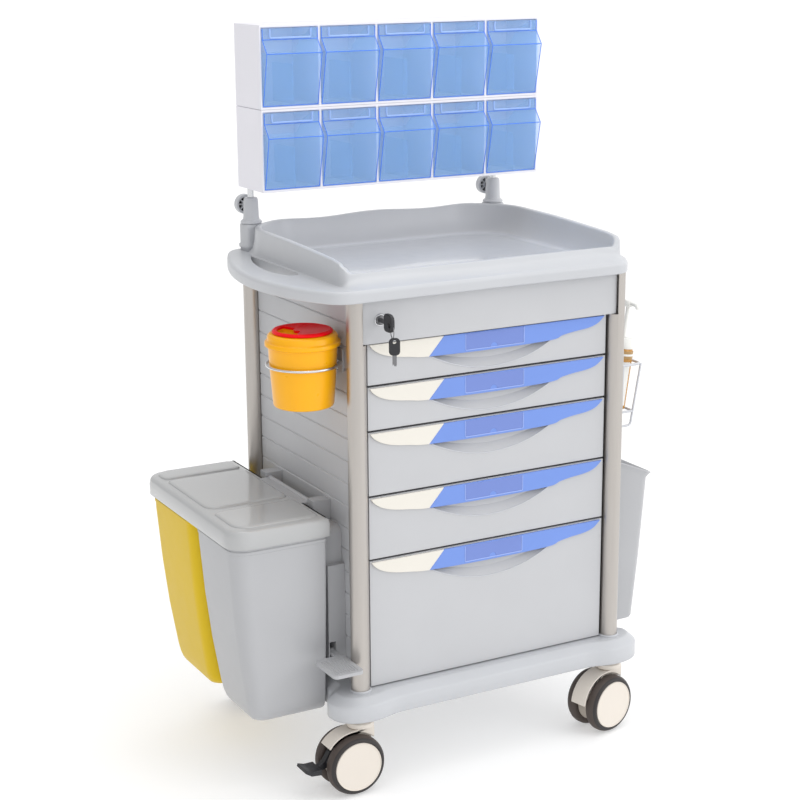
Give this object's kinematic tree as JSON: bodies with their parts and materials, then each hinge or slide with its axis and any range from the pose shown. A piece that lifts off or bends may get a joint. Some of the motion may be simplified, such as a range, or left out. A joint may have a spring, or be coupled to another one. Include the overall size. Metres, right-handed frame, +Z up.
{
  "type": "crash cart",
  "caption": "Hospital crash cart with a column of drawers, moulded top, tilt-bin rack, side waste bins, sharps container, wire basket and swivel casters.",
  "frame": {"origin": "middle of the cart's box, on the floor", "axes": "+Z up, drawers face -Y, the waste bin is on -X and the wire basket on +X"},
  "size_m": [0.901, 0.524, 1.3266],
  "materials": {
    "panel_grey": "satin, cool light grey",
    "rim_grey": "satin, cool light grey",
    "cream": "satin",
    "handle_blue": "semi-gloss, left end cream",
    "clear_blue": "clear, tinted blue",
    "case_white": "semi-gloss",
    "post_aluminium": "satin, anodised champagne",
    "steel": "satin",
    "black": "satin",
    "bucket_yellow": "satin",
    "bucket_grey": "satin",
    "sharps_yellow": "semi-gloss",
    "sharps_red": "semi-gloss",
    "wire_white": "gloss white coating",
    "amber": "clear, amber"
  },
  "bodies": {
    "cart": {"base": "rim_grey", "post_front_left": "post_aluminium", "post_front_right": "post_aluminium", "post_back_left": "post_aluminium", "post_back_right": "post_aluminium", "side_panel_left": "panel_grey", "side_panel_right": "panel_grey", "back_panel": "panel_grey", "lock_panel": "panel_grey", "top_tray": "rim_grey", "rack_sleeve_left": "rim_grey", "rack_sleeve_right": "rim_grey", "waste_bracket": "bucket_grey", "waste_bucket_grey": "bucket_grey", "waste_bucket_yellow": "bucket_yellow", "sharps_container": "sharps_yellow", "sharps_ring": "steel", "side_basket": "wire_white", "sanitiser_bottle": "amber", "open_bin": "bucket_grey"},
    "drawer_1": {"drawer_1": "panel_grey", "drawer_handle_1": "handle_blue"},
    "drawer_2": {"drawer_2": "panel_grey", "drawer_handle_2": "handle_blue"},
    "drawer_3": {"drawer_3": "panel_grey", "drawer_handle_3": "handle_blue"},
    "drawer_4": {"drawer_4": "panel_grey", "drawer_handle_4": "handle_blue"},
    "drawer_5": {"drawer_5": "panel_grey", "drawer_handle_5": "handle_blue"},
    "key": {"key": "black"},
    "rack": {"rack_frame": "steel", "rack_case_lower": "case_white", "rack_case_upper": "case_white"},
    "tilt_bin_lower_1": {"tilt_bin_lower_1": "clear_blue"},
    "tilt_bin_lower_2": {"tilt_bin_lower_2": "clear_blue"},
    "tilt_bin_lower_3": {"tilt_bin_lower_3": "clear_blue"},
    "tilt_bin_lower_4": {"tilt_bin_lower_4": "clear_blue"},
    "tilt_bin_lower_5": {"tilt_bin_lower_5": "clear_blue"},
    "tilt_bin_upper_1": {"tilt_bin_upper_1": "clear_blue"},
    "tilt_bin_upper_2": {"tilt_bin_upper_2": "clear_blue"},
    "tilt_bin_upper_3": {"tilt_bin_upper_3": "clear_blue"},
    "tilt_bin_upper_4": {"tilt_bin_upper_4": "clear_blue"},
    "tilt_bin_upper_5": {"tilt_bin_upper_5": "clear_blue"},
    "rack_knob_left": {"rack_knob_left": "rim_grey"},
    "rack_knob_right": {"rack_knob_right": "rim_grey"},
    "caster_front_left": {"caster_fork_front_left": "cream"},
    "wheels_front_left": {"caster_wheels_front_left": "cream"},
    "brake_front_left": {"brake_pedal_front_left": "black"},
    "caster_front_right": {"caster_fork_front_right": "cream"},
    "wheels_front_right": {"caster_wheels_front_right": "cream"},
    "caster_back_left": {"caster_fork_back_left": "cream"},
    "wheels_back_left": {"caster_wheels_back_left": "cream"},
    "caster_back_right": {"caster_fork_back_right": "cream"},
    "wheels_back_right": {"caster_wheels_back_right": "cream"},
    "brake_back_right": {"brake_pedal_back_right": "black"},
    "waste_lid": {"waste_lid": "bucket_grey"},
    "waste_pedal": {"waste_pedal": "bucket_grey"},
    "sharps_lid": {"sharps_lid": "sharps_red"},
    "pump_head": {"pump_head": "wire_white"}
  },
  "joints": [
    {"name": "drawer_1_slide", "type": "slide", "parent": "cart", "child": "drawer_1", "axis": [0, -1, 0], "range_m": [0, 0.32]},
    {"name": "drawer_2_slide", "type": "slide", "parent": "cart", "child": "drawer_2", "axis": [0, -1, 0], "range_m": [0, 0.32]},
    {"name": "drawer_3_slide", "type": "slide", "parent": "cart", "child": "drawer_3", "axis": [0, -1, 0], "range_m": [0, 0.32]},
    {"name": "drawer_4_slide", "type": "slide", "parent": "cart", "child": "drawer_4", "axis": [0, -1, 0], "range_m": [0, 0.32]},
    {"name": "drawer_5_slide", "type": "slide", "parent": "cart", "child": "drawer_5", "axis": [0, -1, 0], "range_m": [0, 0.32]},
    {"name": "key_turn", "type": "hinge", "parent": "cart", "child": "key", "pos_m": [-0.1885, -0.229, 0.8505], "axis": [0, -1, 0], "range_deg": [0, 90]},
    {"name": "rack_height", "type": "slide", "parent": "cart", "child": "rack", "axis": [0, 0, 1], "range_m": [0, 0.1]},
    {"name": "tilt_bin_lower_1_tilt", "type": "hinge", "parent": "rack", "child": "tilt_bin_lower_1", "pos_m": [-0.1955, 0.104, 1.038], "axis": [1, 0, 0], "range_deg": [0, 45]},
    {"name": "tilt_bin_lower_2_tilt", "type": "hinge", "parent": "rack", "child": "tilt_bin_lower_2", "pos_m": [-0.0795, 0.104, 1.038], "axis": [1, 0, 0], "range_deg": [0, 45]},
    {"name": "tilt_bin_lower_3_tilt", "type": "hinge", "parent": "rack", "child": "tilt_bin_lower_3", "pos_m": [0.0365, 0.104, 1.038], "axis": [1, 0, 0], "range_deg": [0, 45]},
    {"name": "tilt_bin_lower_4_tilt", "type": "hinge", "parent": "rack", "child": "tilt_bin_lower_4", "pos_m": [0.1525, 0.104, 1.038], "axis": [1, 0, 0], "range_deg": [0, 45]},
    {"name": "tilt_bin_lower_5_tilt", "type": "hinge", "parent": "rack", "child": "tilt_bin_lower_5", "pos_m": [0.2685, 0.104, 1.038], "axis": [1, 0, 0], "range_deg": [0, 45]},
    {"name": "tilt_bin_upper_1_tilt", "type": "hinge", "parent": "rack", "child": "tilt_bin_upper_1", "pos_m": [-0.1955, 0.104, 1.186], "axis": [1, 0, 0], "range_deg": [0, 45]},
    {"name": "tilt_bin_upper_2_tilt", "type": "hinge", "parent": "rack", "child": "tilt_bin_upper_2", "pos_m": [-0.0795, 0.104, 1.186], "axis": [1, 0, 0], "range_deg": [0, 45]},
    {"name": "tilt_bin_upper_3_tilt", "type": "hinge", "parent": "rack", "child": "tilt_bin_upper_3", "pos_m": [0.0365, 0.104, 1.186], "axis": [1, 0, 0], "range_deg": [0, 45]},
    {"name": "tilt_bin_upper_4_tilt", "type": "hinge", "parent": "rack", "child": "tilt_bin_upper_4", "pos_m": [0.1525, 0.104, 1.186], "axis": [1, 0, 0], "range_deg": [0, 45]},
    {"name": "tilt_bin_upper_5_tilt", "type": "hinge", "parent": "rack", "child": "tilt_bin_upper_5", "pos_m": [0.2685, 0.104, 1.186], "axis": [1, 0, 0], "range_deg": [0, 45]},
    {"name": "rack_knob_left_turn", "type": "hinge", "parent": "cart", "child": "rack_knob_left", "pos_m": [-0.2275, 0.248, 0.992], "axis": [0, 1, 0], "continuous": true},
    {"name": "rack_knob_right_turn", "type": "hinge", "parent": "cart", "child": "rack_knob_right", "pos_m": [0.3005, 0.248, 0.992], "axis": [0, 1, 0], "continuous": true},
    {"name": "caster_front_left_swivel", "type": "hinge", "parent": "cart", "child": "caster_front_left", "pos_m": [-0.2315, -0.207, 0.125], "axis": [0, 0, 1], "continuous": true},
    {"name": "wheels_front_left_roll", "type": "hinge", "parent": "caster_front_left", "child": "wheels_front_left", "pos_m": [-0.2535, -0.207, 0.055], "axis": [0, 1, 0], "continuous": true},
    {"name": "brake_front_left_press", "type": "hinge", "parent": "caster_front_left", "child": "brake_front_left", "pos_m": [-0.2855, -0.207, 0.074], "axis": [0, -1, 0], "range_deg": [0, 12]},
    {"name": "caster_front_right_swivel", "type": "hinge", "parent": "cart", "child": "caster_front_right", "pos_m": [0.3045, -0.207, 0.125], "axis": [0, 0, 1], "continuous": true},
    {"name": "wheels_front_right_roll", "type": "hinge", "parent": "caster_front_right", "child": "wheels_front_right", "pos_m": [0.28298, -0.21157, 0.055], "axis": [-0.2079, 0.9781, 0], "continuous": true},
    {"name": "caster_back_left_swivel", "type": "hinge", "parent": "cart", "child": "caster_back_left", "pos_m": [-0.2315, 0.219, 0.125], "axis": [0, 0, 1], "continuous": true},
    {"name": "wheels_back_left_roll", "type": "hinge", "parent": "caster_back_left", "child": "wheels_back_left", "pos_m": [-0.2535, 0.219, 0.055], "axis": [0, 1, 0], "continuous": true},
    {"name": "caster_back_right_swivel", "type": "hinge", "parent": "cart", "child": "caster_back_right", "pos_m": [0.3045, 0.219, 0.125], "axis": [0, 0, 1], "continuous": true},
    {"name": "wheels_back_right_roll", "type": "hinge", "parent": "caster_back_right", "child": "wheels_back_right", "pos_m": [0.2825, 0.219, 0.055], "axis": [0, 1, 0], "continuous": true},
    {"name": "brake_back_right_press", "type": "hinge", "parent": "caster_back_right", "child": "brake_back_right", "pos_m": [0.2505, 0.219, 0.074], "axis": [0, -1, 0], "range_deg": [0, 12]},
    {"name": "waste_lid_lift", "type": "hinge", "parent": "cart", "child": "waste_lid", "pos_m": [-0.2515, 0.0235, 0.495], "axis": [0, 1, 0], "range_deg": [0, 75]},
    {"name": "waste_pedal_press", "type": "hinge", "parent": "cart", "child": "waste_pedal", "pos_m": [-0.2515, -0.134, 0.235], "axis": [1, 0, 0], "range_deg": [0, 15]},
    {"name": "sharps_lid_turn", "type": "hinge", "parent": "cart", "child": "sharps_lid", "pos_m": [-0.2935, -0.132, 0.828], "axis": [0, 0, 1], "range_deg": [0, 150]},
    {"name": "pump_press", "type": "slide", "parent": "cart", "child": "pump_head", "axis": [-0.1478, 0, -0.989], "range_m": [0, 0.011], "stiffness_N_per_m": 250, "springref_m": -0.002}
  ],
  "couplings": [
    {"joint": "waste_pedal_press", "follows": "waste_lid_lift", "ratio": 0.2}
  ]
}
